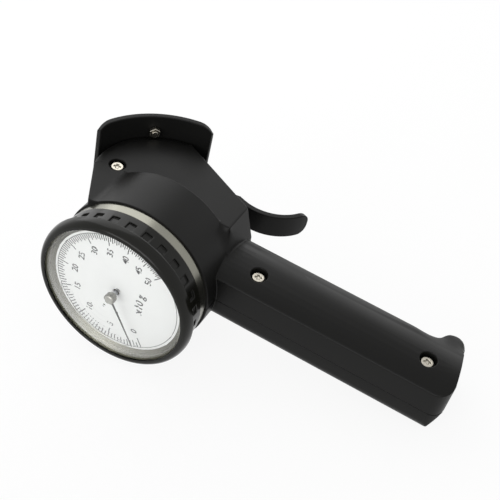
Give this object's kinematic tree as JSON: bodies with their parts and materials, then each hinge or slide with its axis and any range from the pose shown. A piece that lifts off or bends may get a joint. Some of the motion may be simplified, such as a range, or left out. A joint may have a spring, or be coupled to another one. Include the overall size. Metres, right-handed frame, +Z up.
{
  "type": "wire tension meter",
  "caption": "Hand-held wire tension meter: round dial on a gun-shaped black casing, with grooved rollers at the muzzle, a trigger that opens them and a geared pointer.",
  "frame": {"origin": "middle of the bottom of the box round the meter as it lies on its left side, on the bezel's lip and the end of the handle", "axes": "+X towards the end of the handle, +Y away from the dial, +Z up"},
  "size_m": [0.1909, 0.102, 0.0817],
  "materials": {
    "casing_plastic": "satin",
    "guard_plastic": "matte",
    "trigger_plastic": "satin",
    "bezel_plastic": "gloss",
    "roller_plastic": "satin",
    "brass": "satin",
    "spring_steel": "satin",
    "nickel_steel": "polished",
    "case_aluminium": "brushed",
    "arm_aluminium": "satin",
    "crystal_plastic": "clear",
    "ring_aluminium": "satin",
    "dial_paint": "matte",
    "pointer_paint": "matte",
    "plate_steel": "brushed"
  },
  "bodies": {
    "casing": {"right_casing": "casing_plastic", "left_casing": "casing_plastic", "casing_screws": "nickel_steel", "guard": "guard_plastic", "guard_screws": "nickel_steel", "roller_plate": "plate_steel", "plate_screws": "nickel_steel", "plate_nuts": "nickel_steel", "guide_shafts": "nickel_steel", "guide_screws": "nickel_steel", "arm_pin": "nickel_steel", "measuring_spring": "spring_steel", "spring_seat": "brass", "trigger_pin": "nickel_steel", "trigger_spring": "spring_steel", "gauge_case": "case_aluminium", "movement_back_plate": "brass", "movement_front_plate": "brass", "movement_pillars": "brass", "movement_screws": "nickel_steel"},
    "right_guide": {"right_guide_roller": "roller_plastic", "right_guide_bush": "brass"},
    "left_guide": {"left_guide_roller": "roller_plastic", "left_guide_bush": "brass"},
    "arm": {"measuring_arm": "arm_aluminium", "measuring_shaft": "nickel_steel", "measuring_screw": "nickel_steel"},
    "measuring_wheel": {"measuring_roller": "roller_plastic", "measuring_bush": "brass"},
    "trigger": {"trigger": "trigger_plastic"},
    "sector": {"sector_gear": "brass", "sector_arbor": "nickel_steel"},
    "pointer": {"pointer_arbor": "brass", "pointer": "pointer_paint"},
    "bezel": {"bezel": "bezel_plastic", "crystal": "crystal_plastic", "inner_ring": "ring_aluminium", "dial_plate": "dial_paint"}
  },
  "joints": [
    {"name": "trigger_pull", "type": "hinge", "parent": "casing", "child": "trigger", "pos_m": [-0.04093, 0.00777, 0.03624], "axis": [-0.1905, 0, -0.9817], "range_deg": [0, 8.4], "stiffness_Nm_per_rad": 0.4},
    {"name": "arm_swing", "type": "hinge", "parent": "casing", "child": "arm", "pos_m": [-0.0572, 0.01589, 0.03939], "axis": [-0.1905, 0, -0.9817], "range_deg": [0, 6.3], "deforming": ["measuring_spring"]},
    {"name": "sector_turn", "type": "hinge", "parent": "casing", "child": "sector", "pos_m": [-0.06659, -0.01573, 0.03358], "axis": [0, -1, 0], "range_deg": [0, 25.4]},
    {"name": "pointer_turn", "type": "hinge", "parent": "casing", "child": "pointer", "pos_m": [-0.04486, -0.01573, 0.037], "axis": [0, 1, 0], "range_deg": [0, 254]},
    {"name": "right_guide_spin", "type": "hinge", "parent": "casing", "child": "right_guide", "pos_m": [-0.07814, 0.0288, 0.06383], "axis": [-0.6111, 0.7826, 0.1186], "continuous": true},
    {"name": "left_guide_spin", "type": "hinge", "parent": "casing", "child": "left_guide", "pos_m": [-0.08576, 0.0288, 0.02456], "axis": [-0.6111, 0.7826, 0.1186], "continuous": true},
    {"name": "measuring_spin", "type": "hinge", "parent": "arm", "child": "measuring_wheel", "pos_m": [-0.07403, 0.03517, 0.04266], "axis": [-0.6524, 0.7472, 0.1266], "continuous": true},
    {"name": "bezel_turn", "type": "hinge", "parent": "casing", "child": "bezel", "pos_m": [-0.04486, -0.03643, 0.037], "axis": [0, 1, 0], "continuous": true}
  ],
  "couplings": [
    {"joint": "arm_swing", "follows": "trigger_pull", "ratio": 0.75},
    {"joint": "sector_turn", "follows": "trigger_pull", "ratio": 3.0238},
    {"joint": "pointer_turn", "follows": "trigger_pull", "ratio": 30.238}
  ]
}
